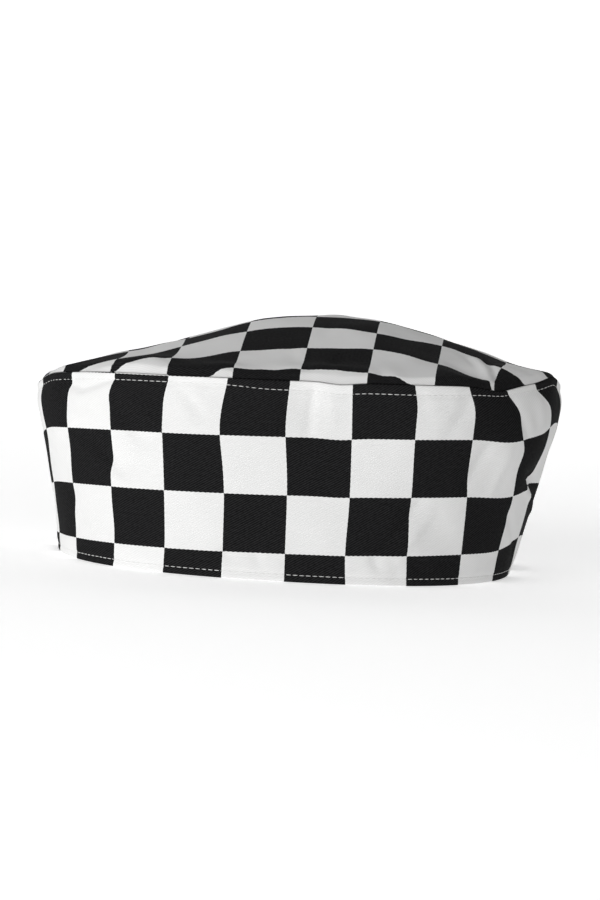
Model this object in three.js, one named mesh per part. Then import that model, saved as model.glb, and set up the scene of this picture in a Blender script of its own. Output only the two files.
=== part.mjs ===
// Chef skull cap: a tall cloth side band closed on top by a soft domed crown panel.
// Millimetres, +Z up, front toward -Y. The hem lies flat in the plane z = 0.
import * as THREE from 'three';

// Sizes of the cap
const capWidth = 223;
const capDepth = 186;
const bandHeight = 80;
const domeRise = 25;
const domeTopRight = 14;
const domeTopBack = 4;

// Cloth, hem and seam
const bandCloth = 1.2;
const hemCloth = 2.4;
const hemHeight = 11;
const crownCloth = 1.2;
const seamGap = 0.3;
const seamAllowance = 9;
const foldDepth = 6;

// How soon the seam's dips fade toward the top of the dome, and the crown's puffs toward the rim
const rimFoldFade = 6;
const crownFoldFade = 12;

// Mesh steps
const headingSteps = 80;
const wallSteps = 12;
const innerWallSteps = 8;
const crownSteps = 9;

// Headings are in degrees seen from above, 0 at the front and growing toward the right side.
// Reach of the wall to each side as a share of the half width or half depth, by share of height.
// A squareness of 2 is an oval, and more is squarer.
const wallSections = [
  { height: 0.0, left: 0.888, right: 0.834, front: 1.0, back: 1.0, squareness: 2.35 },
  { height: 0.2, left: 0.903, right: 0.872, front: 0.968, back: 0.953, squareness: 2.37 },
  { height: 0.4, left: 0.925, right: 0.911, front: 0.933, back: 0.897, squareness: 2.4 },
  { height: 0.6, left: 0.95, right: 0.952, front: 0.898, back: 0.839, squareness: 2.45 },
  { height: 0.8, left: 0.98, right: 0.991, front: 0.86, back: 0.776, squareness: 2.5 },
  { height: 0.9, left: 0.997, right: 1.0, front: 0.842, back: 0.744, squareness: 2.5 },
  { height: 1.0, left: 1.0, right: 0.988, front: 0.828, back: 0.72, squareness: 2.5 },
];

// Height of the top seam round the cap, as a share of the band height.
const seamLine = [
  { heading: -180, height: 0.97 },
  { heading: -150, height: 0.96 },
  { heading: -120, height: 0.93 },
  { heading: -90, height: 0.87 },
  { heading: -70, height: 0.945 },
  { heading: -45, height: 0.983 },
  { heading: 0, height: 0.997 },
  { heading: 46, height: 1.01 },
  { heading: 70, height: 1.02 },
  { heading: 90, height: 1.0 },
  { heading: 135, height: 0.97 },
  { heading: 180, height: 0.97 },
];

// Short dips and humps of the top seam. Upward is a share of the fold depth, below 0 for a dip.
const seamFolds = [
  { heading: -82, headingSpread: 7, upward: -0.3 },
  { heading: 12, headingSpread: 5, upward: -0.15 },
  { heading: 57, headingSpread: 7, upward: -0.4 },
  { heading: 77, headingSpread: 6, upward: 0.5 },
];

// Dents of the side band. Height and heightSpread are shares of the band height, headingSpread is
// in degrees, and inward is a share of the fold depth, below 0 where the cloth stands out.
const wallFolds = [
  { heading: 2, height: 0.88, headingSpread: 6, heightSpread: 0.16, inward: 0.3 },
  { heading: -64, height: 1.0, headingSpread: 13, heightSpread: 0.16, inward: 0.5 },
  { heading: -74, height: 0.8, headingSpread: 9, heightSpread: 0.14, inward: -0.18 },
  { heading: -52, height: 0.72, headingSpread: 8, heightSpread: 0.3, inward: 0.22 },
  { heading: 62, height: 1.0, headingSpread: 15, heightSpread: 0.2, inward: 1.0 },
  { heading: 72, height: 0.5, headingSpread: 5, heightSpread: 0.1, inward: 0.35 },
  { heading: 36, height: 0.3, headingSpread: 7, heightSpread: 0.2, inward: 0.22 },
  { heading: 50, height: 0.6, headingSpread: 6, heightSpread: 0.2, inward: 0.2 },
  { heading: 118, height: 0.92, headingSpread: 12, heightSpread: 0.25, inward: 0.5 },
  { heading: -112, height: 0.95, headingSpread: 12, heightSpread: 0.25, inward: 0.4 },
  { heading: 150, height: 0.45, headingSpread: 9, heightSpread: 0.3, inward: 0.3 },
  { heading: -146, height: 0.55, headingSpread: 10, heightSpread: 0.3, inward: 0.3 },
];

// Rise of the crown from its rim to its top, as a share of the dome's rise, by share of reach.
const crownSections = [
  { reach: 0.0, rise: 1.0 },
  { reach: 0.25, rise: 0.87 },
  { reach: 0.5, rise: 0.6 },
  { reach: 0.75, rise: 0.31 },
  { reach: 0.9, rise: 0.14 },
  { reach: 1.0, rise: 0.0 },
];

// Puffs and creases of the crown. Reach runs from 0 at the top of the dome to 1 at the rim, and
// upward is a share of the fold depth, below 0 for a crease.
const crownFolds = [
  { heading: -75, reach: 0.9, headingSpread: 9, reachSpread: 0.1, upward: 0.08 },
  { heading: -47, reach: 0.93, headingSpread: 9, reachSpread: 0.09, upward: 0.55 },
  { heading: -25, reach: 0.93, headingSpread: 6, reachSpread: 0.07, upward: 0.3 },
  { heading: 11, reach: 0.92, headingSpread: 11, reachSpread: 0.09, upward: 0.5 },
  { heading: 54, reach: 0.9, headingSpread: 4, reachSpread: 0.14, upward: -0.35 },
  { heading: 66, reach: 0.9, headingSpread: 7, reachSpread: 0.1, upward: 0.4 },
  { heading: 92, reach: 0.65, headingSpread: 40, reachSpread: 0.28, upward: 0.2 },
  { heading: 115, reach: 0.9, headingSpread: 8, reachSpread: 0.12, upward: -0.4 },
  { heading: 150, reach: 0.93, headingSpread: 9, reachSpread: 0.1, upward: 0.4 },
  { heading: 180, reach: 0.92, headingSpread: 8, reachSpread: 0.1, upward: 0.3 },
  { heading: -135, reach: 0.92, headingSpread: 10, reachSpread: 0.1, upward: 0.45 },
  { heading: -108, reach: 0.9, headingSpread: 6, reachSpread: 0.1, upward: -0.35 },
];

// Smooth curve through the rows of a table that never swings past a row's value.
function readTable(rows, along, column, at) {
  const last = rows.length - 1;
  const slopeBetween = (i) => {
    const run = rows[i + 1][along] - rows[i][along];
    return (rows[i + 1][column] - rows[i][column]) / run;
  };
  const slopeAt = (i) => {
    if (i === 0) return slopeBetween(0);
    if (i === last) return slopeBetween(last - 1);
    const before = slopeBetween(i - 1);
    const after = slopeBetween(i);
    if (before * after <= 0) return 0;
    return (2 * before * after) / (before + after);
  };
  const place = THREE.MathUtils.clamp(at, rows[0][along], rows[last][along]);
  let i = 0;
  while (i < last - 1 && place > rows[i + 1][along]) i += 1;
  const span = rows[i + 1][along] - rows[i][along];
  const t = (place - rows[i][along]) / span;
  const startWeight = (1 + 2 * t) * (1 - t) ** 2;
  const endWeight = t * t * (3 - 2 * t);
  const startSlope = slopeAt(i) * span * t * (1 - t) ** 2;
  const endSlope = slopeAt(i + 1) * span * t * t * (t - 1);
  return rows[i][column] * startWeight + rows[i + 1][column] * endWeight + startSlope + endSlope;
}

function headingApart(heading, from) {
  return THREE.MathUtils.euclideanModulo(heading - from + 180, 360) - 180;
}

function bump(offset, spread) {
  return Math.exp(-((offset / spread) ** 2));
}

// Height of the top seam before its short dips and humps.
function plainSeamHeight(heading) {
  return bandHeight * readTable(seamLine, 'heading', 'height', headingApart(heading, 0));
}

function seamHeight(heading) {
  let upward = 0;
  for (const fold of seamFolds) {
    upward += fold.upward * bump(headingApart(heading, fold.heading), fold.headingSpread);
  }
  return plainSeamHeight(heading) + upward * foldDepth;
}

// Distance of the wall from the middle axis, folds included.
function wallReach(heading, height) {
  const angle = THREE.MathUtils.degToRad(heading);
  const toRight = Math.sin(angle);
  const toFront = Math.cos(angle);
  const sideShare = readTable(wallSections, 'height', toRight > 0 ? 'right' : 'left', height);
  const endShare = readTable(wallSections, 'height', toFront > 0 ? 'front' : 'back', height);
  const squareness = readTable(wallSections, 'height', 'squareness', height);
  const side = Math.abs(toRight / ((capWidth / 2) * sideShare)) ** squareness;
  const end = Math.abs(toFront / ((capDepth / 2) * endShare)) ** squareness;
  let inward = 0;
  for (const fold of wallFolds) {
    const round = bump(headingApart(heading, fold.heading), fold.headingSpread);
    const up = bump(height - fold.height, fold.heightSpread);
    inward += fold.inward * foldDepth * round * up;
  }
  return (side + end) ** (-1 / squareness) - inward;
}

function wallOutline(heading, height) {
  const angle = THREE.MathUtils.degToRad(heading);
  const reach = wallReach(heading, height);
  return new THREE.Vector2(reach * Math.sin(angle), -reach * Math.cos(angle));
}

// Point of the wall at a share of its height, set in square to the outline by the inset.
function wallPoint(heading, height, inset) {
  const point = wallOutline(heading, height);
  if (inset > 0) {
    const step = 360 / headingSteps / 2;
    const before = wallOutline(heading - step, height);
    const after = wallOutline(heading + step, height);
    const along = after.sub(before).normalize();
    point.x -= along.y * inset;
    point.y += along.x * inset;
  }
  return new THREE.Vector3(point.x, point.y, height * seamHeight(heading));
}

// Point of the dome: reach 0 is its top, and reach 1 lies on the rim.
function domePoint(heading, reach, inset) {
  const rim = wallPoint(heading, 1, inset);
  const rimHeight = plainSeamHeight(heading) + seamGap;
  const topHeight = bandHeight + domeRise;
  const rise = (topHeight - rimHeight) * readTable(crownSections, 'reach', 'rise', reach);
  const rimFold = (rim.z + seamGap - rimHeight) * reach ** rimFoldFade;
  let upward = 0;
  for (const fold of crownFolds) {
    const round = bump(headingApart(heading, fold.heading), fold.headingSpread);
    upward += fold.upward * foldDepth * round * bump(reach - fold.reach, fold.reachSpread);
  }
  const clearOfRim = 1 - reach ** crownFoldFade;
  return new THREE.Vector3(
    THREE.MathUtils.lerp(domeTopRight, rim.x, reach),
    THREE.MathUtils.lerp(domeTopBack, rim.y, reach),
    rimHeight + rise + rimFold + upward * clearOfRim,
  );
}

function headings() {
  return Array.from({ length: headingSteps }, (_, i) => (i * 360) / headingSteps);
}

// Evenly spaced values from first to last, both included.
function steps(first, last, count) {
  return Array.from({ length: count + 1 }, (_, i) => THREE.MathUtils.lerp(first, last, i / count));
}

function meshGeometry(points, triangles) {
  const geometry = new THREE.BufferGeometry();
  const numbers = points.flatMap((point) => [point.x, point.y, point.z]);
  geometry.setAttribute('position', new THREE.Float32BufferAttribute(numbers, 3));
  geometry.setIndex(triangles);
  geometry.computeVertexNormals();
  return geometry;
}

// Faces between neighbouring rows of points, where each row goes the same way along its section.
function stripFaces(rowLength, rowCount, closed) {
  const triangles = [];
  for (let row = 0; row < rowCount; row += 1) {
    const next = (row + 1) % rowCount;
    const pairs = closed ? rowLength : rowLength - 1;
    for (let k = 0; k < pairs; k += 1) {
      const above = (k + 1) % rowLength;
      const a = row * rowLength + k;
      const b = next * rowLength + k;
      const c = next * rowLength + above;
      const d = row * rowLength + above;
      triangles.push(a, b, c, a, c, d);
    }
  }
  return triangles;
}

// Levels that the band and the crown's turned-in edge share, down from the seam.
const allowanceLevels = steps(1, 1 - seamAllowance / bandHeight, 2);

function sideBandGeometry() {
  const points = [];
  const allowanceEnd = allowanceLevels[allowanceLevels.length - 1];
  let rowLength = 0;
  for (const heading of headings()) {
    const hemTop = hemHeight / seamHeight(heading);
    const lowerLevels = steps(allowanceEnd, hemTop, innerWallSteps).slice(1);
    const row = [
      ...steps(0, 1, wallSteps).map((level) => wallPoint(heading, level, 0)),
      ...allowanceLevels.map((level) => wallPoint(heading, level, bandCloth)),
      ...lowerLevels.map((level) => wallPoint(heading, level, bandCloth)),
      wallPoint(heading, hemTop, hemCloth),
      wallPoint(heading, 0, hemCloth),
    ];
    rowLength = row.length;
    points.push(...row);
  }
  return meshGeometry(points, stripFaces(rowLength, headingSteps, true));
}

// Domed panel whose edge lies on the band's top edge and turns down inside it.
function crownPanelGeometry() {
  const lipInset = bandCloth + seamGap;
  const innerInset = lipInset + crownCloth;
  const reaches = steps(0, 1, crownSteps).slice(1).map((t) => Math.sin((t * Math.PI) / 2));
  const points = [];
  let rowLength = 0;
  for (const heading of headings()) {
    const underRim = wallPoint(heading, 1, lipInset);
    underRim.z += seamGap;
    const innerDome = reaches.map((reach) => {
      const point = domePoint(heading, reach, innerInset);
      point.z -= crownCloth;
      return point;
    });
    const row = [
      ...innerDome,
      ...allowanceLevels.slice(1).map((level) => wallPoint(heading, level, innerInset)),
      ...allowanceLevels.slice(1).reverse().map((level) => wallPoint(heading, level, lipInset)),
      underRim,
      ...reaches.map((reach) => domePoint(heading, reach, 0)).reverse(),
    ];
    rowLength = row.length;
    points.push(...row);
  }
  const triangles = stripFaces(rowLength, headingSteps, false);
  const underTop = points.length;
  const overTop = underTop + 1;
  const topHeight = bandHeight + domeRise;
  points.push(new THREE.Vector3(domeTopRight, domeTopBack, topHeight - crownCloth));
  points.push(new THREE.Vector3(domeTopRight, domeTopBack, topHeight));
  for (let row = 0; row < headingSteps; row += 1) {
    const start = row * rowLength;
    const nextStart = ((row + 1) % headingSteps) * rowLength;
    triangles.push(underTop, nextStart, start);
    triangles.push(overTop, start + rowLength - 1, nextStart + rowLength - 1);
  }
  return meshGeometry(points, triangles);
}

const bandTwill = new THREE.MeshStandardMaterial({ color: 0x8a8a8a, roughness: 0.9, metalness: 0 });
const crownTwill = new THREE.MeshStandardMaterial({ color: 0x777777, roughness: 0.9, metalness: 0 });

const sideBand = new THREE.Mesh(sideBandGeometry(), bandTwill);
sideBand.name = 'side_band';

const crownPanel = new THREE.Mesh(crownPanelGeometry(), crownTwill);
crownPanel.name = 'crown_panel';

const skullCap = new THREE.Group();
skullCap.name = 'chef_skull_cap';
skullCap.add(sideBand, crownPanel);

export default skullCap;
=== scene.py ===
import math
import bpy
import numpy as np
from mathutils import Matrix, Vector, noise


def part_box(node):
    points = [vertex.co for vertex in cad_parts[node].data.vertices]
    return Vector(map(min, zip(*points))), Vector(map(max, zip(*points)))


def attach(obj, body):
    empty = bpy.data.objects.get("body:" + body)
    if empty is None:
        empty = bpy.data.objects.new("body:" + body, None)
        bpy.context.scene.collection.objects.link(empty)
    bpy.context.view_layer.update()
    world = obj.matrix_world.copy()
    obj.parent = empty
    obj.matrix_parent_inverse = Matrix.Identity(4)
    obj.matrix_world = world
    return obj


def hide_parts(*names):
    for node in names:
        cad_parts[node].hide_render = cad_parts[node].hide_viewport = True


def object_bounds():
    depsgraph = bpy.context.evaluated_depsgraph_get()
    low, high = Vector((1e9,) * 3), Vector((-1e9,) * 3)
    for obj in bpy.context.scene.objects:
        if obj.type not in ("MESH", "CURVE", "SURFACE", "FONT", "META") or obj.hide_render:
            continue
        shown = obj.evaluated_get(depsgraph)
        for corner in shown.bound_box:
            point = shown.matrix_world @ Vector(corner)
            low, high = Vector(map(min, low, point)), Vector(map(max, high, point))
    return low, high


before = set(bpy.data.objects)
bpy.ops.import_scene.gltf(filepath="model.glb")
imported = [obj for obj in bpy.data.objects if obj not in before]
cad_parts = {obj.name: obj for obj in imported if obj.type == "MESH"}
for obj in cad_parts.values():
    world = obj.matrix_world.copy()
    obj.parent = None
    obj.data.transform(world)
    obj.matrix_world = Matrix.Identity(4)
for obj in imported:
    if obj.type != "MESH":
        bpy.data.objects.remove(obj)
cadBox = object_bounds()
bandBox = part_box("side_band")
mm = 0.001

# Sizes of the cap. In all tables a heading is in degrees seen from above, 0 at the front and
# growing to the right, and a height is a share of the band's height. How far a fold goes inward
# or upward is a share of foldDepth
capShape = {
    "width": bandBox[1][0] - bandBox[0][0],
    "depth": bandBox[1][1] - bandBox[0][1],
    "bandHeight": 80 * mm,
    "domeTop": cadBox[1][2],
    "domeTopRight": 14 * mm,
    "domeTopBack": 4 * mm,
    "foldDepth": 6 * mm,
    "cloth": 1.2 * mm,
    "hemCloth": 2.4 * mm,
    "hemHeight": 5 * mm,
    "edgeRound": 0.5 * mm,
    "seamGap": 0.3 * mm,
    "seamAllowance": 9 * mm,
    "girth": 609.6 * mm,
}

# half widths and half depths of the outline at each height, as shares of the cap's own
wallSections = {
    "height": [0.0, 0.2, 0.4, 0.6, 0.8, 0.9, 1.0],
    "left": [0.888, 0.903, 0.925, 0.95, 0.98, 0.997, 1.0],
    "right": [0.834, 0.872, 0.911, 0.952, 0.991, 1.0, 0.988],
    "front": [1.0, 0.968, 0.933, 0.898, 0.86, 0.842, 0.828],
    "back": [1.0, 0.953, 0.897, 0.839, 0.776, 0.744, 0.72],
    "squareness": [2.35, 2.37, 2.4, 2.45, 2.5, 2.5, 2.5],
}

# the seam round the cap, before its folds
seamLine = {
    "heading": [-180, -150, -120, -90, -70, -45, 0, 46, 70, 90, 135, 180],
    "height": [0.97, 0.96, 0.93, 0.87, 0.945, 0.983, 0.997, 1.01, 1.02, 1.0, 0.97, 0.97],
}

# a reach is a share of the way from the top of the crown to its rim
crownSections = {
    "reach": [0.0, 0.25, 0.5, 0.75, 0.9, 1.0],
    "rise": [1.0, 0.87, 0.6, 0.31, 0.14, 0.0],
}

# folds of the seam: heading, headingSpread, upward
seamFolds = [
    (-82, 7, -0.3),
    (12, 5, -0.15),
    (57, 7, -0.4),
    (77, 6, 0.5),
]

# folds of the wall: heading, height, headingSpread, heightSpread, inward
wallFolds = [
    (2, 0.88, 6, 0.16, 0.3),
    (-64, 1.0, 13, 0.16, 0.5),
    (-74, 0.8, 9, 0.14, -0.18),
    (-52, 0.72, 8, 0.3, 0.22),
    (62, 1.0, 15, 0.2, 1.0),
    (72, 0.5, 5, 0.1, 0.35),
    (36, 0.3, 7, 0.2, 0.22),
    (50, 0.6, 6, 0.2, 0.2),
    (118, 0.92, 12, 0.25, 0.5),
    (-112, 0.95, 12, 0.25, 0.4),
    (150, 0.45, 9, 0.3, 0.3),
    (-146, 0.55, 10, 0.3, 0.3),
]

# folds of the crown: heading, reach, headingSpread, reachSpread, upward
crownFolds = [
    (-75, 0.9, 9, 0.1, 0.08),
    (-47, 0.93, 9, 0.09, 0.55),
    (-25, 0.93, 6, 0.07, 0.3),
    (11, 0.92, 11, 0.09, 0.5),
    (54, 0.9, 4, 0.14, -0.35),
    (66, 0.9, 7, 0.1, 0.4),
    (92, 0.65, 40, 0.28, 0.2),
    (115, 0.9, 8, 0.12, -0.4),
    (150, 0.93, 9, 0.1, 0.4),
    (180, 0.92, 8, 0.1, 0.3),
    (-135, 0.92, 10, 0.1, 0.45),
    (-108, 0.9, 6, 0.1, -0.35),
]


def readTable(table, along, column, at):
    # smooth curve through the rows, without overshoot
    x = np.array(table[along], float)
    y = np.array(table[column], float)
    run = np.diff(x)
    chord = np.diff(y) / run
    slope = np.empty_like(y)
    slope[0], slope[-1] = chord[0], chord[-1]
    same = chord[:-1] * chord[1:] > 0
    total = np.where(same, chord[:-1] + chord[1:], 1.0)
    slope[1:-1] = np.where(same, 2 * chord[:-1] * chord[1:] / total, 0.0)
    place = np.clip(at, x[0], x[-1])
    i = np.clip(np.searchsorted(x, place, side="right") - 1, 0, len(x) - 2)
    t = (place - x[i]) / run[i]
    value = y[i] * (1 + 2 * t) * (1 - t) ** 2 + y[i + 1] * t * t * (3 - 2 * t)
    return value + run[i] * (slope[i] * t * (1 - t) ** 2 + slope[i + 1] * t * t * (t - 1))


def bump(offset, spread):
    return np.exp(-((offset / spread) ** 2))


def spot(across, acrossSpread, up, upSpread):
    return bump(across, acrossSpread) * bump(up, upSpread)


def apart(heading, other):
    return (heading - other + 180) % 360 - 180


def softStep(value, low, high):
    t = np.clip((value - low) / (high - low), 0, 1)
    return t * t * (3 - 2 * t)


def clothNoise(points, depth, size, rise, shift):
    # soft unevenness that follows the place on the cap, not the mesh. A rise under 1 draws it out
    # upward, and the shift only picks another part of the noise
    flat = (points * np.array([1, 1, rise])).reshape(-1, 3) / size + shift
    return depth * np.array([noise.noise(Vector(p)) for p in flat]).reshape(points.shape[:-1])


def headings(count):
    # evenly round the cap, from the middle of the back
    return -180 + 360 * np.arange(count) / count


def plainSeamHeight(heading):
    share = readTable(seamLine, "heading", "height", apart(heading, 0))
    return capShape["bandHeight"] * share


def seamHeight(heading):
    upward = sum(row[2] * bump(apart(heading, row[0]), row[1]) for row in seamFolds)
    return plainSeamHeight(heading) + upward * capShape["foldDepth"]


def wallOutline(heading, height):
    angle = np.radians(heading)
    toRight, toFront = np.sin(angle), np.cos(angle)
    right, left, front, back, squareness = (
        readTable(wallSections, "height", column, height)
        for column in ("right", "left", "front", "back", "squareness")
    )
    side = capShape["width"] / 2 * np.where(toRight > 0, right, left)
    end = capShape["depth"] / 2 * np.where(toFront > 0, front, back)
    total = np.abs(toRight / side) ** squareness + np.abs(toFront / end) ** squareness
    reach = total ** (-1 / squareness)
    for foldHeading, foldHeight, headingSpread, heightSpread, inward in wallFolds:
        share = spot(apart(heading, foldHeading), headingSpread, height - foldHeight, heightSpread)
        reach = reach - inward * capShape["foldDepth"] * share
    return reach * toRight, -reach * toFront


# Small unevenness of the band: soft waves, puckers along both rows of stitches and the grooves
# that the rows lie in
bandRelief = {
    "broad": {"depth": 0.9 * mm, "size": 34 * mm, "rise": 0.55, "shift": 3.1},
    "fine": {"depth": 0.35 * mm, "size": 13 * mm, "rise": 1, "shift": 7.7},
    "pucker": {"depth": 0.55 * mm, "size": 6 * mm, "rise": 0.2, "shift": 11.3},
    "puckerReach": 9 * mm,
    "hemPucker": 0.6,
    "calmHem": 10 * mm,
    "groove": 0.3 * mm,
    "grooveWidth": 0.8 * mm,
    "edgeSwell": 0.25 * mm,
    "hemRow": 2.8 * mm,
}

# how far under the seam the upper row of stitches runs, in mm, by heading
topRowPlace = {
    "heading": [-180, -70, -25, -8, 20, 42, 57, 72, 100, 180],
    "under": [3.4, 3.0, 2.6, 3.7, 3.9, 3.9, 1.9, 3.0, 3.5, 3.4],
}


def topRowUnder(heading):
    return readTable(topRowPlace, "heading", "under", apart(heading, 0)) * mm


# Creases of the band: heading and height of one end, of the other end, width and depth in mm,
# below 0 where the cloth stands out in a ridge
wallCreases = [
    (4, 0.98, 3, 0.72, 2.8, 0.8),
    (9, 0.97, 10, 0.8, 2.4, -0.25),
    (33, 0.42, 22, 0.16, 2.4, 0.8),
    (36, 0.36, 27, 0.14, 2.0, -0.5),
    (52, 0.74, 45, 0.5, 2.4, 0.9),
    (57, 0.7, 52, 0.44, 2.2, -0.6),
    (66, 0.56, 84, 0.4, 2.0, 2.2),
    (68, 0.47, 82, 0.33, 1.8, -1.2),
    (60, 0.36, 72, 0.14, 2.4, 0.9),
    (46, 0.9, 40, 0.76, 2.6, 0.7),
    (60, 0.94, 63, 0.74, 2.6, 1.0),
    (69, 0.92, 69, 0.76, 3.2, -0.8),
    (-66, 0.95, -60, 0.91, 1.5, 1.2),
    (-60, 0.91, -51, 0.97, 1.5, 1.3),
    (-50, 0.84, -41, 0.66, 3.0, 1.3),
    (-44, 0.86, -37, 0.72, 2.6, -0.6),
    (-60, 0.7, -46, 0.5, 3.2, 1.3),
    (-56, 0.6, -44, 0.42, 2.8, -0.6),
    (-33, 0.93, -27, 0.8, 2.6, 0.6),
    (-66, 0.42, -58, 0.24, 2.8, 0.7),
    (-17, 0.16, -15, 0.09, 2.0, 0.5),
    (-9, 0.15, -8, 0.08, 2.0, 0.5),
    (20, 0.16, 22, 0.08, 2.2, 0.6),
    (30, 0.14, 33, 0.07, 2.2, 0.5),
    (104, 0.9, 112, 0.6, 4.0, 1.6),
    (128, 0.88, 122, 0.62, 3.6, 1.2),
    (140, 0.6, 152, 0.3, 3.4, 1.3),
    (168, 0.94, 164, 0.66, 3.2, 1.1),
    (-172, 0.5, -162, 0.2, 3.4, 1.0),
    (-150, 0.9, -156, 0.62, 3.6, 1.2),
    (-128, 0.86, -120, 0.52, 3.8, 1.5),
    (-104, 0.9, -98, 0.62, 3.4, 1.4),
    (-112, 0.4, -120, 0.16, 3.0, 0.9),
    (180, 0.0, 180, 1.0, 0.7, 0.7),
]
# a crease is shallower at its ends
creaseEnds = {"least": 0.4, "start": 0.1, "run": 0.8}

# degrees of the outline that give the wall its outward direction
directionArc = 4.5


def creaseShare(across, up, runAcross, runUp, width):
    # how deep a crease is at a place measured from its start, as a share of its full depth
    along = np.clip((across * runAcross + up * runUp) / (runAcross ** 2 + runUp ** 2), 0, 1)
    off = np.hypot(across - along * runAcross, up - along * runUp)
    turn = math.pi * (creaseEnds["start"] + creaseEnds["run"] * along)
    fade = creaseEnds["least"] + (1 - creaseEnds["least"]) * np.sin(turn)
    return fade * bump(off, width)


def wallCreaseRelief(heading, height):
    perDegree, tall = capShape["girth"] / 360, capShape["bandHeight"]
    total = 0
    for startHeading, startHeight, endHeading, endHeight, width, depth in wallCreases:
        around, up = apart(heading, startHeading) * perDegree, (height - startHeight) * tall
        runAround, runUp = (endHeading - startHeading) * perDegree, (endHeight - startHeight) * tall
        total = total - depth * mm * creaseShare(around, up, runAround, runUp, width * mm)
    return total


def wallRelief(points, height, heading):
    r = bandRelief
    up = points[..., 2]
    underSeam = seamHeight(heading) - up
    topRow = topRowUnder(heading)
    underRow, overRow = underSeam - topRow, up - r["hemRow"]
    waves = clothNoise(points, **r["broad"]) + clothNoise(points, **r["fine"])
    nearTop = bump(np.maximum(underRow, 0), r["puckerReach"])
    nearHem = bump(np.maximum(overRow, 0), r["puckerReach"])
    puckers = clothNoise(points, **r["pucker"]) * (nearTop + r["hemPucker"] * nearHem)
    relief = waves * softStep(up, 0, r["calmHem"]) + puckers + wallCreaseRelief(heading, height)
    relief = relief * softStep(underSeam, 0, topRow) * softStep(up, 0, r["hemRow"])
    for fromRow in (underRow, overRow):
        relief = relief - r["groove"] * bump(fromRow, r["grooveWidth"])
    return relief + r["edgeSwell"] * (1 - softStep(underSeam, 0, topRow))


def wallPoints(heading, height, inset, relief=True):
    heading, height, inset = np.broadcast_arrays(heading, height, inset)
    x, y = wallOutline(heading, height)
    beforeX, beforeY = wallOutline(heading - directionArc / 2, height)
    afterX, afterY = wallOutline(heading + directionArc / 2, height)
    alongX, alongY = afterX - beforeX, afterY - beforeY
    length = np.hypot(alongX, alongY)
    outX, outY = alongY / length, -alongX / length
    z = height * seamHeight(heading)
    out = -inset
    if relief:
        out = out + wallRelief(np.stack([x, y, z], -1), height, heading)
    return np.stack([x + outX * out, y + outY * out, z], -1)


def makeMesh(name, points, faces, uvs, yarnUvs):
    mesh = bpy.data.meshes.new(name)
    mesh.from_pydata(points, [], faces)
    for layerName, values in (("weave", uvs), ("yarn", yarnUvs)):
        layer = mesh.uv_layers.new(name=layerName)
        layer.data.foreach_set("uv", values.astype(np.float32).ravel())
    mesh.shade_smooth()
    mesh.update()
    piece = bpy.data.objects.new(name, mesh)
    bpy.context.scene.collection.objects.link(piece)
    return piece


def ringFaces(columns, rows, closedRows):
    # quads between neighbouring headings, and the column and row of each of their corners
    lastRow = rows if closedRows else rows - 1
    i, k = np.meshgrid(np.arange(columns), np.arange(lastRow), indexing="ij")
    i, k = i.ravel(), k.ravel()
    corners = [(i, k), (i + 1, k), (i + 1, k + 1), (i, k + 1)]
    faces = np.stack([(column % columns) * rows + row % rows for column, row in corners], -1)
    return faces, corners


# The fine rib follows plain coordinates of its own, called yarn.
bandWeave = {
    "pitchAround": 25.4 * mm,
    "pitchUp": 23.45 * mm,
    "cornerAround": -2.2 * mm,
    "cornerUp": 11.25 * mm,
    "turn": 0.019,
    "clothHeight": 80.8 * mm,
}

# where the print is pushed sideways or up on the cap by the way the cloth has settled:
# heading, height, headingSpread, heightSpread, around in mm, up in mm
printDrifts = [
    (-20, 0.78, 22, 0.22, -3.0, 0.0),
    (56, 0.42, 8, 0.12, 1.8, 0.0),
    (-46, 0.14, 18, 0.2, 2.2, 0.0),
    (20, 0.14, 12, 0.2, -1.7, 0.0),
    (-50, 0.88, 12, 0.08, -1.6, 0.0),
    (-50, 0.6, 10, 0.1, 1.0, 0.0),
    (40, 0.9, 9, 0.12, 2.4, 0.0),
    (57, 0.9, 8, 0.12, 3.0, 0.0),
    (70, 0.88, 8, 0.13, 3.4, 0.0),
    (60, 0.68, 8, 0.07, 3.0, 0.0),
    (76, 0.14, 12, 0.2, 0.0, 3.2),
    (90, 0.72, 14, 0.22, 0.0, 4.5),
    (-79, 0.72, 8, 0.14, 4.0, 0.0),
    (-82, 1.0, 24, 0.3, 0.0, 2.8),
    (57, 1.0, 9, 0.08, -4.0, 0.0),
    (75, 1.0, 10, 0.11, -17.0, 0.0),
    (93, 0.85, 12, 0.2, -8.0, 0.0),
]

# rows of the cloth, the shares of a quarter turn at which its rounded edges have a row, and how
# far down the turned hem its first two rows lie, as shares of edgeRound
bandMesh = {
    "columns": 480,
    "wallRows": 70,
    "innerRows": 36,
    "allowanceRows": 4,
    "hemEdge": (0, 0.35, 0.7),
    "topEdge": (0.3, 0.6, 0.85, 1),
    "turnedEdge": (0.1, 0.8),
}


def bandWeaveUv(around, up, heading, height):
    w = bandWeave
    for driftHeading, driftHeight, headingSpread, heightSpread, driftAround, driftUp in printDrifts:
        share = spot(apart(heading, driftHeading), headingSpread, height - driftHeight, heightSpread)
        around = around - share * driftAround * mm
        up = up - share * driftUp * mm
    across = around + w["turn"] * up - w["cornerAround"]
    rise = up - w["turn"] * around - w["cornerUp"]
    return np.stack([across, rise], -1)


def quarterTurn(share):
    # how far a rounded edge has gone along and across
    angle = share * math.pi / 2
    return 1 - math.cos(angle), 1 - math.sin(angle)


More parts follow.
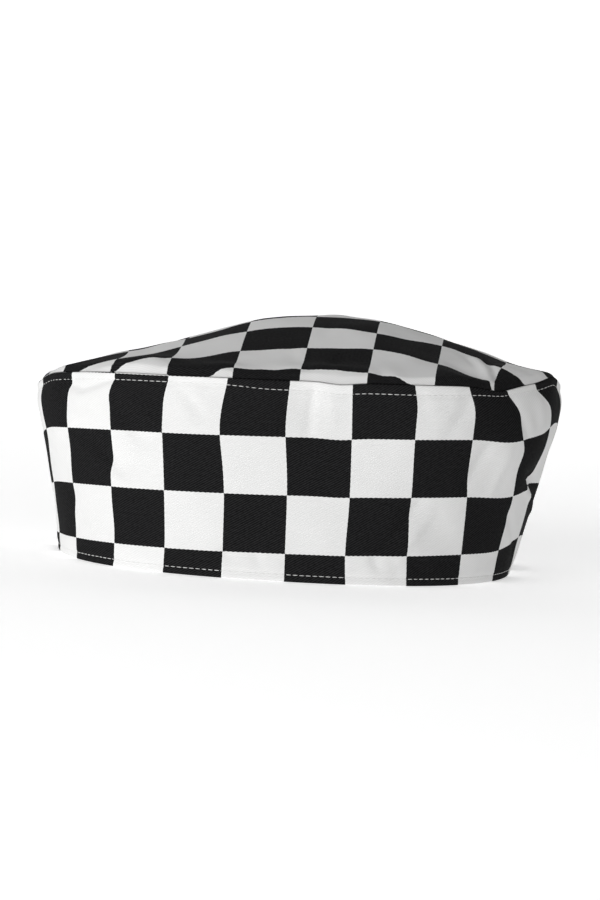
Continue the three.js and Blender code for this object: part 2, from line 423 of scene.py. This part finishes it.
def bandProfile(height):
    # level and inset of each row: up the outer wall, over the top edge and down the inner wall
    c, m = capShape, bandMesh
    edge, cloth, hemCloth = c["edgeRound"], c["cloth"], c["hemCloth"]
    low = edge / height
    hemTop = c["hemHeight"] / height
    lipEnd = 1 - c["seamAllowance"] / c["bandHeight"]
    profile = []
    for along, across in map(quarterTurn, m["hemEdge"]):
        profile.append((low * along, edge * across))
    for t in np.linspace(0, 1, m["wallRows"]):
        profile.append((low + (1 - 2 * low) * t, 0))
    for along, across in map(quarterTurn, m["topEdge"]):
        profile.append((1 - low * across, edge * along))
    for t in np.linspace(0, 1, m["allowanceRows"]):
        profile.append((1 - (1 - lipEnd) * t, cloth))
    for t in np.linspace(0, 1, m["innerRows"])[1:]:
        profile.append((lipEnd + (hemTop - lipEnd) * t, cloth))
    # the turned hem
    firstDown, secondDown = m["turnedEdge"]
    profile += [
        (hemTop - firstDown * low, hemCloth - edge),
        (hemTop - secondDown * low, hemCloth),
        (hemTop / 2, hemCloth),
        (low, hemCloth),
        (0, hemCloth - edge),
    ]
    levels, insets = zip(*profile)
    return tuple(
        np.stack([np.broadcast_to(value, height.shape) for value in column], 1)
        for column in (levels, insets)
    )


def closeRing(values):
    return np.concatenate([values, values[:1]])


def buildSideBand():
    columns = bandMesh["columns"]
    heading = headings(columns)
    levels, insets = bandProfile(seamHeight(heading))
    rows = levels.shape[1]
    points = wallPoints(heading[:, None], levels, insets)
    points[..., 2] = np.maximum(points[..., 2], 0)
    # cloth distance round the band from its front, worked out on each level of the plain wall
    plain = closeRing(wallPoints(heading[:, None], levels, 0, relief=False))
    stepX, stepY = np.diff(plain[..., :2], axis=0).transpose(2, 0, 1)
    around = np.concatenate([np.zeros((1, rows)), np.cumsum(np.hypot(stepX, stepY), axis=0)])
    around = around / around[-1] * capShape["girth"]
    ringHeading, ringLevels = np.append(heading, 180), closeRing(levels)
    around = around - np.array([np.interp(0, ringHeading, around[:, k]) for k in range(rows)])
    up = ringLevels * bandWeave["clothHeight"]
    weave = bandWeaveUv(around, up, ringHeading[:, None], ringLevels)
    yarn = np.stack([around, up], -1)
    faces, corners = ringFaces(columns, rows, True)
    uvs, yarnUvs = (
        np.stack([places[column, row % rows] for column, row in corners], 1)
        for places in (weave, yarn)
    )
    return makeMesh("sideBandCloth", points.reshape(-1, 3).tolist(), faces.tolist(), uvs, yarnUvs)


# Behind the last row of crownRows the check has rowsBehind rows up to the back edge, and rowShare
# fewer for each pitch that this last row lies behind the middle
crownWeave = {
    "pitchAcross": 27.1 * mm,
    "pitchBack": 25.0 * mm,
    "cornerRight": 0.2 * mm,
    "cornerBack": -66.5 * mm,
    "backEdge": 84 * mm,
    "rowsBehind": 3.5,
    "rowShare": 0.5,
    "turn": -0.078,
}

# how far back the first rows of the check lie on the domed and settled crown, in mm from the
# middle, by the distance to the right
crownRows = {
    "right": [-110, -92, -76, -64, -49, -25, 4, 31, 58, 72, 79, 84, 110],
    "row0": [-80, -82, -84, -83, -80, -71, -71, -71, -76, -77, -78, -80, -84],
    "row1": [-61, -61, -61, -61, -59, -48, -45, -44, -49, -50, -52, -60, -67],
    "row2": [-46, -49, -50, -44, -36, -24, -22, -26, -20, -25, -34, -38, -46],
    "row3": [-24, -28, -30, -23, -14, -8, -3, -6, -3, -5, -12, -18, -32],
}

# where its columns are pushed: right and back of the middle of the push, its spread right and
# back, and the push to the right, all in mm
crownDrifts = [
    (-82, -42, 14, 30, 3.4),
    (-100, -34, 12, 18, 8),
    (84, -52, 14, 14, -4),
    (-68, -32, 18, 22, 5),
]

# Creases of the crown: right and back of one end, of the other end, width and depth, all in mm
crownCreases = [
    (76, -28, 82, -54, 1.3, 0.8),
    (72, -28, 78, -53, 2.0, -1.3),
    (66, -24, 76, -44, 2.4, 0.5),
    (-88, -50, -74, -58, 1.8, 0.9),
    (-60, -58, -50, -66, 2.0, 0.5),
    (12, -66, 16, -52, 3.0, 0.5),
    (-2, -60, -6, -44, 3.6, 0.4),
]

# the outer cloth starts edgeInset inside the outline, and two rows close it to the allowance
crownMesh = {
    "columns": 400,
    "domeRows": 62,
    "allowanceRows": 5,
    "edgeInset": 0.35 * mm,
    "underInset": 0.9 * mm,
    "underGaps": (1.0, 0.7),
}

# Small unevenness of the crown: soft waves, gathers along the seam and the roll of cloth out of
# it. By two powers of the reach, folds of the seam stay near the rim and those of the crown end
# at it
crownRelief = {
    "broad": {"depth": 1.2 * mm, "size": 33 * mm, "rise": 0, "shift": 5.3},
    "fine": {"depth": 0.4 * mm, "size": 12 * mm, "rise": 0, "shift": 2.9},
    "gather": {"depth": 0.9 * mm, "size": 7 * mm, "rise": 0, "shift": 9.1},
    "gatherReach": 9 * mm,
    "calmRim": 2.5 * mm,
    "roll": 1.6 * mm,
    "rollWidth": 3 * mm,
    "rollReach": 12 * mm,
    "seamFoldPower": 6,
    "crownFoldPower": 12,
}


def crownWeaveUv(x, y):
    w = crownWeave
    for middleRight, middleBack, spreadRight, spreadBack, pushRight in crownDrifts:
        offRight, offBack = x - middleRight * mm, y - middleBack * mm
        x = x - spot(offRight, spreadRight * mm, offBack, spreadBack * mm) * pushRight * mm
    right, back = x - w["cornerRight"], y - w["cornerBack"]
    across = right * math.cos(w["turn"]) + back * math.sin(w["turn"])
    rowNames = ("row0", "row1", "row2", "row3")
    rowLines = [readTable(crownRows, "right", name, x / mm) * mm for name in rowNames]
    first, last = rowLines[0], rowLines[-1]
    rowsBehind = w["rowsBehind"] - w["rowShare"] * last / w["pitchBack"]
    row = np.maximum((y - last) / (w["backEdge"] - last) * rowsBehind, 0)
    row = row + np.minimum((y - first) / (rowLines[1] - first), 0)
    for near, far in zip(rowLines, rowLines[1:]):
        row = row + np.clip((y - near) / (far - near), 0, 1)
    return np.stack([across, row * w["pitchBack"]], -1)


def crownCreaseRelief(x, y):
    total = 0
    for startRight, startBack, endRight, endBack, width, depth in crownCreases:
        right, back = x / mm - startRight, y / mm - startBack
        runRight, runBack = endRight - startRight, endBack - startBack
        total = total - depth * mm * creaseShare(right, back, runRight, runBack, width)
    return total


def domePoints(heading, reach, inset):
    c, r = capShape, crownRelief
    heading, reach, inset = np.broadcast_arrays(heading, reach, inset)
    rim = wallPoints(heading, np.ones_like(reach), inset, relief=False)
    rimHeight = plainSeamHeight(heading) + c["seamGap"]
    rise = (c["domeTop"] - rimHeight) * readTable(crownSections, "reach", "rise", reach)
    seamFold = (rim[..., 2] + c["seamGap"] - rimHeight) * reach ** r["seamFoldPower"]
    crownFold = 0
    for foldHeading, foldReach, headingSpread, reachSpread, upward in crownFolds:
        share = spot(apart(heading, foldHeading), headingSpread, reach - foldReach, reachSpread)
        crownFold = crownFold + upward * c["foldDepth"] * share
    crownFold = crownFold * (1 - reach ** r["crownFoldPower"])
    rimRight, rimBack = rim[..., 0] - c["domeTopRight"], rim[..., 1] - c["domeTopBack"]
    x = c["domeTopRight"] + rimRight * reach
    y = c["domeTopBack"] + rimBack * reach
    points = np.stack([x, y, rimHeight + rise + seamFold + crownFold], -1)
    fromRim = (1 - reach) * np.hypot(rimRight, rimBack)
    gathers = clothNoise(rim, **r["gather"]) * bump(fromRim, r["gatherReach"])
    relief = clothNoise(points, **r["broad"]) + clothNoise(points, **r["fine"]) + gathers
    relief = relief + crownCreaseRelief(x, y)
    points[..., 2] += relief * softStep(fromRim, 0, r["calmRim"])
    roll = softStep(fromRim, 0, r["rollWidth"]) * bump(fromRim, r["rollReach"])
    points[..., 2] += r["roll"] * roll
    return points


def crownPlaces(inner, outer, top, rim, lipShare):
    # The check has the plan of the panel, with the allowance laid out past the rim. The rib
    # follows the length of cloth from the top, so that it isn't drawn out on steep places
    middle = top[:2]
    outward = (rim - middle) / np.linalg.norm(rim - middle, axis=-1, keepdims=True)
    lip = rim + outward * (capShape["seamAllowance"] * lipShare[None, :, None])
    parts = [inner[..., :2], lip, lip[:, ::-1], np.repeat(rim, 2, axis=1), outer[..., :2]]
    plan = np.concatenate(parts, axis=1)
    steps = np.linalg.norm(np.diff(outer, axis=1)[:, ::-1], axis=-1)
    topStep = np.linalg.norm(outer[:, -1] - top, axis=-1)[:, None]
    fromTop = np.cumsum(np.concatenate([topStep, steps], axis=1), axis=1)[:, ::-1, None]
    away = outer[..., :2] - middle
    away = away / np.linalg.norm(away, axis=-1, keepdims=True)
    yarn = plan.copy()
    yarn[:, -outer.shape[1]:] = middle + away * fromTop
    return np.concatenate([plan, yarn], axis=-1)


def buildCrownPanel():
    c, m = capShape, crownMesh
    columns = m["columns"]
    heading = headings(columns)[:, None]
    lipInset = c["cloth"] + c["seamGap"]
    innerInset = lipInset + c["cloth"]
    reaches = np.sin(np.linspace(0, 1, m["domeRows"])[1:] * math.pi / 2)
    inner = domePoints(heading, reaches, innerInset)
    inner[..., 2] -= c["cloth"]
    outer = domePoints(heading, reaches[::-1], m["edgeInset"])
    lipShare = np.linspace(0, 1, m["allowanceRows"])[1:]
    lipLevels = 1 - c["seamAllowance"] / seamHeight(heading) * lipShare
    lipInner = wallPoints(heading, lipLevels, innerInset, relief=False)
    lipOuter = wallPoints(heading, lipLevels[:, ::-1], lipInset, relief=False)
    underRim = wallPoints(heading, 1.0, np.array([lipInset, m["underInset"]]), relief=False)
    underRim[..., 2] += c["seamGap"] * np.array(m["underGaps"])
    rim = wallPoints(heading, 1.0, 0.0, relief=False)[..., :2]
    points = np.concatenate([inner, lipInner, lipOuter, underRim, outer], axis=1)
    rows = points.shape[1]
    top = np.array([c["domeTopRight"], c["domeTopBack"], outer[:, -1, 2].mean()])
    innerTop = np.array([*top[:2], inner[:, 0, 2].mean()])
    places = crownPlaces(inner, outer, top, rim, lipShare)
    faces, corners = ringFaces(columns, rows, False)
    quadPlaces = np.stack([places[column % columns, row] for column, row in corners], 1)
    # a fan closes each side at its top
    innerPole, last = columns * rows, rows - 1
    outerPole = innerPole + 1
    topPlace = np.array([*top[:2], *top[:2]])
    fans, fanPlaces = [], []
    for i in range(columns):
        k = (i + 1) % columns
        fans.append((innerPole, k * rows, i * rows))
        fans.append((outerPole, i * rows + last, k * rows + last))
        fanPlaces += [topPlace, places[k, 0], places[i, 0]]
        fanPlaces += [topPlace, places[i, last], places[k, last]]
    allPoints = np.concatenate([points.reshape(-1, 3), [innerTop, top]]).tolist()
    allFaces = faces.tolist() + fans
    allPlaces = np.concatenate([quadPlaces.reshape(-1, 4), np.array(fanPlaces)])
    uvs = crownWeaveUv(allPlaces[:, 0], allPlaces[:, 1])
    return makeMesh("crownPanelCloth", allPoints, allFaces, uvs, allPlaces[:, 2:])


# Twill: white and black yarn in squares, with a fine diagonal rib. The black yarn has a painted
# highlight along the rib crests, and painted shade darkens both yarns in the rib hollows. The dye
# values are for the uneven tone of the black yarn
twill = {
    "white": (0.8, 0.8, 0.795, 1),
    "black": (0.003, 0.003, 0.0032, 1),
    "blackRibHighlight": (0.026, 0.026, 0.027, 1),
    "ribSpacing": 1.0 * mm,
    "ribRise": 0.6,
    "ribDepth": 0.09 * mm,
    "ribStrength": 0.22,
    "ribHollowShade": 0.93,
    "ribHighlightShare": 0.4,
    "dyeShare": 0.9,
    "dyeHeight": 0.1,
    "dyeScale": 900.0,
    "dyeDetail": 2.0,
    "toothPeriod": 2.0 * mm,
    "toothDepth": 0.17 * mm,
    "toothStart": -5.0,
    "roughness": 0.85,
    "specular": 0.03,
}


class NodeMaker:
    # short calls for building a node tree
    def __init__(self, tree):
        self.tree = tree

    def feed(self, node, inputs):
        # each input gets a fixed value or another node's output
        for key, value in inputs.items():
            if isinstance(value, bpy.types.NodeSocket):
                self.tree.links.new(value, node.inputs[key])
            else:
                node.inputs[key].default_value = value

    def add(self, kind, inputs, output, **settings):
        node = self.tree.nodes.new(kind)
        for key, value in settings.items():
            setattr(node, key, value)
        self.feed(node, inputs)
        return node.outputs[output]

    def math(self, operation, a, b=0.0):
        return self.add("ShaderNodeMath", {0: a, 1: b}, 0, operation=operation)

    def mix(self, factor, a, b, **settings):
        inputs = {"Factor": factor, "A": a, "B": b}
        return self.add("ShaderNodeMix", inputs, "Result", data_type="RGBA", **settings)

    def mapRange(self, value, low, high, lowResult, highResult):
        limits = {"From Min": low, "From Max": high, "To Min": lowResult, "To Max": highResult}
        return self.add("ShaderNodeMapRange", {"Value": value, **limits}, "Result")

    def bumped(self, height, strength, distance):
        inputs = {"Height": height, "Strength": strength, "Distance": distance}
        return self.add("ShaderNodeBump", inputs, "Normal")


def newMaterial(name):
    # the material, its node maker and its surface
    material = bpy.data.materials.new(name)
    material.use_nodes = True
    return material, NodeMaker(material.node_tree), material.node_tree.nodes["Principled BSDF"]


def squareNumber(maker, along, across, pitch, toothDepth):
    # counts the squares along; their edges step with the diagonal of the weave
    place = maker.math("SUBTRACT", across, twill["toothStart"])
    tooth = maker.math("PINGPONG", place, twill["toothPeriod"] / 2)
    tooth = maker.math("MULTIPLY", tooth, toothDepth / twill["toothPeriod"])
    return maker.math("FLOOR", maker.math("DIVIDE", maker.math("ADD", along, tooth), pitch))


def twillMaterial(name, pitchU, pitchV, parity, ribTurn):
    t = twill
    material, s, surface = newMaterial(name)
    weave = s.add("ShaderNodeUVMap", {}, "UV", uv_map="weave")
    u, v = (s.add("ShaderNodeSeparateXYZ", {"Vector": weave}, axis) for axis in "XY")
    column = squareNumber(s, u, v, pitchU, t["toothDepth"])
    row = squareNumber(s, v, u, pitchV, 2 * t["toothDepth"])
    square = s.math("ADD", s.math("ADD", column, row), parity)
    dark = s.math("FLOORED_MODULO", square, 2.0)
    yarn = s.add("ShaderNodeUVMap", {}, "UV", uv_map="yarn")
    yarnU, yarnV = (s.add("ShaderNodeSeparateXYZ", {"Vector": yarn}, axis) for axis in "XY")
    rib = s.math("ADD", s.math("MULTIPLY", yarnU, -t["ribRise"] * ribTurn), yarnV)
    rib = s.math("DIVIDE", rib, t["ribSpacing"])
    wave = s.math("SINE", s.math("MULTIPLY", rib, 2 * math.pi))
    dyeInputs = {"Scale": t["dyeScale"], "Detail": t["dyeDetail"], "Vector": yarn}
    dye = s.add("ShaderNodeTexNoise", dyeInputs, "Fac")
    # painted shade darkens the hollows between the ribs, a painted highlight lightens the black yarn
    # along the rib crests, and dyed yarn is uneven
    ribHighlightPart = s.math("MULTIPLY", wave, t["ribHighlightShare"])
    dyePart = s.math("MULTIPLY", dye, t["dyeShare"])
    # painted highlight: the black yarn is lighter along the rib crests, with its uneven dye on top
    blackYarnDyeAndHighlight = s.mix(s.math("ADD", ribHighlightPart, dyePart), t["black"], t["blackRibHighlight"])
    squares = s.mix(dark, t["white"], blackYarnDyeAndHighlight)
    # painted shade: the base colour is darker in the hollows between the ribs
    ribHollowShade = s.mapRange(wave, -1.0, 1.0, t["ribHollowShade"], 1.0)
    height = s.math("ADD", wave, s.math("MULTIPLY", dye, t["dyeHeight"]))
    s.feed(surface, {
        "Base Color": s.mix(1.0, squares, ribHollowShade, blend_type="MULTIPLY"),
        "Roughness": t["roughness"],
        "Specular IOR Level": t["specular"],
        "Normal": s.bumped(height, t["ribStrength"], t["ribDepth"]),
    })
    return material


thread = {
    "colour": (0.7, 0.7, 0.69, 1),
    "roughness": 0.6,
    "twistScale": 2600.0,
    "twistStrength": 0.4,
    "twistDepth": 0.05 * mm,
}


def threadMaterial():
    material, s, surface = newMaterial("sewingThread")
    place = s.add("ShaderNodeTexCoord", {}, "Object")
    twist = s.add("ShaderNodeTexNoise", {"Scale": thread["twistScale"], "Vector": place}, "Fac")
    s.feed(surface, {
        "Base Color": thread["colour"],
        "Roughness": thread["roughness"],
        "Normal": s.bumped(twist, thread["twistStrength"], thread["twistDepth"]),
    })
    return material


# a stitch is a small grain of thread, a little uneven in size between smallest and largest
stitching = {
    "pitch": 2.65 * mm,
    "stitchLength": 2.1 * mm,
    "threadWidth": 0.3 * mm,
    "threadHeight": 0.26 * mm,
    "smallest": (0.9, 0.9, 0.9),
    "largest": (1.06, 1.1, 1.1),
    "segments": 8,
    "rings": 6,
    "lift": 0.04 * mm,
    "pathSteps": 1440,
    "seed": 7,
}


def stitchTree(material):
    tree = bpy.data.node_groups.new("stitchRow", "GeometryNodeTree")
    face = tree.interface
    face.new_socket("Geometry", in_out="INPUT", socket_type="NodeSocketGeometry")
    for label in ("pitch", "stitchLength", "threadWidth", "threadHeight"):
        face.new_socket(label, in_out="INPUT", socket_type="NodeSocketFloat")
    face.new_socket("seed", in_out="INPUT", socket_type="NodeSocketInt")
    face.new_socket("Geometry", in_out="OUTPUT", socket_type="NodeSocketGeometry")
    g = NodeMaker(tree)
    source = tree.nodes.new("NodeGroupInput").outputs
    target = tree.nodes.new("NodeGroupOutput")
    path = g.add("GeometryNodeMeshToCurve", {"Mesh": source["Geometry"]}, "Curve")
    pathInputs = {"Curve": path, "Length": source["pitch"]}
    places = g.add("GeometryNodeResampleCurve", pathInputs, "Curve", mode="LENGTH")
    # each stitch lies along the path and faces out of the cloth
    tangent = g.add("GeometryNodeInputTangent", {}, "Tangent")
    outward = g.add(
        "GeometryNodeInputNamedAttribute", {"Name": "outward"}, "Attribute", data_type="FLOAT_VECTOR"
    )
    align = "FunctionNodeAlignRotationToVector"
    alongPath = g.add(align, {"Vector": tangent}, "Rotation", axis="X")
    facing = {"Rotation": alongPath, "Vector": outward}
    facing = g.add(align, facing, "Rotation", axis="Z", pivot_axis="X")
    # a round grain of diameter 1, its poles along the path, then scaled to the thread
    roundness = {"Segments": stitching["segments"], "Rings": stitching["rings"], "Radius": 0.5}
    grain = g.add("GeometryNodeMeshUVSphere", roundness, "Mesh")
    turned = {"Geometry": grain, "Rotation": (0, math.pi / 2, 0)}
    grain = g.add("GeometryNodeTransform", turned, "Geometry")
    lengths = {"X": source["stitchLength"], "Y": source["threadWidth"], "Z": source["threadHeight"]}
    size = g.add("ShaderNodeCombineXYZ", lengths, "Vector")
    grain = g.add("GeometryNodeTransform", {"Geometry": grain, "Scale": size}, "Geometry")
    limits = {"Min": stitching["smallest"], "Max": stitching["largest"], "Seed": source["seed"]}
    scale = g.add("FunctionNodeRandomValue", limits, "Value", data_type="FLOAT_VECTOR")
    placing = {"Points": places, "Instance": grain, "Rotation": facing, "Scale": scale}
    row = g.add("GeometryNodeInstanceOnPoints", placing, "Instances")
    row = g.add("GeometryNodeRealizeInstances", {"Geometry": row}, "Geometry")
    row = g.add("GeometryNodeSetMaterial", {"Geometry": row, "Material": material}, "Geometry")
    tree.links.new(row, target.inputs["Geometry"])
    return tree


def stitchRow(name, tree, points, outward):
    # a closed path on the cloth, turned into a row of separate stitches
    count = len(points)
    mesh = bpy.data.meshes.new(name + "Path")
    edges = [(i, (i + 1) % count) for i in range(count)]
    mesh.from_pydata(points.tolist(), edges, [])
    attribute = mesh.attributes.new("outward", "FLOAT_VECTOR", "POINT")
    attribute.data.foreach_set("vector", outward.astype(np.float32).ravel())
    path = bpy.data.objects.new(name + "Path", mesh)
    bpy.context.scene.collection.objects.link(path)
    modifier = path.modifiers.new("stitches", "NODES")
    modifier.node_group = tree
    for item in tree.interface.items_tree:
        if item.in_out == "INPUT" and item.name in stitching:
            modifier[item.identifier] = stitching[item.name]
    bpy.context.view_layer.update()
    graph = bpy.context.evaluated_depsgraph_get()
    stitches = bpy.data.meshes.new_from_object(path.evaluated_get(graph))
    stitches.name = name
    stitches.shade_smooth()
    piece = bpy.data.objects.new(name, stitches)
    bpy.context.scene.collection.objects.link(piece)
    bpy.data.objects.remove(path)
    return piece


def rowOnWall(fromTop):
    heading = headings(stitching["pathSteps"])
    height = seamHeight(heading)
    level = 1 - topRowUnder(heading) / height if fromTop else bandRelief["hemRow"] / height
    on = wallPoints(heading, level, -stitching["lift"])
    out = on - wallPoints(heading, level, 1 * mm)
    return on, out / np.linalg.norm(out, axis=-1, keepdims=True)


# the photograph is taken with a long lens, from a little above the cap and a little rolled
cameraView = {
    "distance": 1.5,
    "elevation": 4.24,
    "roll": 3.2,
    "aimHeight": 0.0463,
    "aimRight": 0.0012,
    "lens": 141.0,
    "sensor": 36.0,
}


def buildCamera():
    v = cameraView
    e, r = math.radians(v["elevation"]), math.radians(v["roll"])
    data = bpy.data.cameras.new("camera")
    data.lens = v["lens"]
    data.sensor_width = v["sensor"]
    camera = bpy.data.objects.new("camera", data)
    forward = Vector((0, math.cos(e), -math.sin(e)))
    up = Vector((0, math.sin(e), math.cos(e)))
    right = Vector((1, 0, 0))
    rolledRight = right * math.cos(r) + up * math.sin(r)
    rolledUp = up * math.cos(r) - right * math.sin(r)
    turn = Matrix((rolledRight, rolledUp, -forward)).transposed().to_4x4()
    place = Vector((v["aimRight"], 0, v["aimHeight"])) - forward * v["distance"]
    camera.matrix_world = Matrix.Translation(place) @ turn
    bpy.context.scene.collection.objects.link(camera)
    bpy.context.scene.camera = camera


# pale floor that curves up behind. The backdrop glows a little more than the floor that the cap
# stands on
stage = {
    "halfWidth": 4.0,
    "frontEdge": -4.0,
    "backEdge": 2.2,
    "bend": 1.0,
    "bendSteps": 12,
    "top": 3.0,
    "colour": (0.93, 0.93, 0.93, 1),
    "roughness": 0.9,
    "glow": 0.44,
    "backGlow": 0.66,
}


def buildStage():
    w = stage
    bend, bendStart = w["bend"], w["backEdge"] - w["bend"]
    section = [(w["frontEdge"], 0.0), (bendStart, 0.0)]
    for k in range(1, w["bendSteps"] + 1):
        angle = k / w["bendSteps"] * math.pi / 2
        section.append((bendStart + bend * math.sin(angle), bend - bend * math.cos(angle)))
    section.append((w["backEdge"], w["top"]))
    points = [(x, y, z) for y, z in section for x in (-w["halfWidth"], w["halfWidth"])]
    faces = [(2 * k, 2 * k + 1, 2 * k + 3, 2 * k + 2) for k in range(len(section) - 1)]
    mesh = bpy.data.meshes.new("studioFloor")
    mesh.from_pydata(points, [], faces)
    mesh.shade_smooth()
    floor = bpy.data.objects.new("studioFloor", mesh)
    material, s, surface = newMaterial("paleFloor")
    place = s.add("ShaderNodeTexCoord", {}, "Object")
    back = s.add("ShaderNodeSeparateXYZ", {"Vector": place}, "Y")
    s.feed(surface, {
        "Base Color": w["colour"],
        "Roughness": w["roughness"],
        "Emission Strength": 1.0,
        "Emission Color": s.mapRange(back, 0.0, w["backEdge"], w["glow"], w["backGlow"]),
    })
    mesh.materials.append(material)
    bpy.context.scene.collection.objects.link(floor)


# lights: name, place, size, power
studio = {
    "sky": 0.19,
    "aim": (0, 0, 0.05),
    "lights": [
        ("keyLight", (-0.98, -1.69, 0.47), 1.0, 13),
        ("sideLight", (-1.6, -1.12, 0.47), 1.0, 9.5),
        ("frontLight", (0, -2.12, 0.62), 1.2, 7.4),
    ],
}


def buildLight():
    scene = bpy.context.scene
    scene.view_settings.view_transform = "Standard"
    scene.world = bpy.data.worlds.new("studio")
    scene.world.use_nodes = True
    background = scene.world.node_tree.nodes["Background"]
    background.inputs["Color"].default_value = (1, 1, 1, 1)
    background.inputs["Strength"].default_value = studio["sky"]
    for name, place, size, power in studio["lights"]:
        light = bpy.data.lights.new(name, "AREA")
        light.shape = "DISK"
        light.size = size
        light.energy = power
        lamp = bpy.data.objects.new(name, light)
        lamp.location = place
        direction = Vector(studio["aim"]) - Vector(place)
        lamp.rotation_euler = direction.to_track_quat("-Z", "Y").to_euler()
        scene.collection.objects.link(lamp)


buildCamera()
buildStage()
buildLight()
print("stage: camera, floor and light")

bandPitches = (bandWeave["pitchAround"], bandWeave["pitchUp"])
crownPitches = (crownWeave["pitchAcross"], crownWeave["pitchBack"])
bandTwill = twillMaterial("bandCheckTwill", *bandPitches, parity=0, ribTurn=1)
crownTwill = twillMaterial("crownCheckTwill", *crownPitches, parity=1, ribTurn=-1)

sideBand = buildSideBand()
sideBand.data.materials.append(bandTwill)
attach(sideBand, "root")
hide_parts("side_band")
print("side band")

crownPanel = buildCrownPanel()
crownPanel.data.materials.append(crownTwill)
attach(crownPanel, "root")
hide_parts("crown_panel")
print("crown panel")

stitchNodes = stitchTree(threadMaterial())
for rowName, fromTop in (("topSeamStitches", True), ("hemStitches", False)):
    rowPoints, rowOut = rowOnWall(fromTop)
    row = stitchRow(rowName, stitchNodes, rowPoints, rowOut)
    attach(row, "root")
print("stitching")
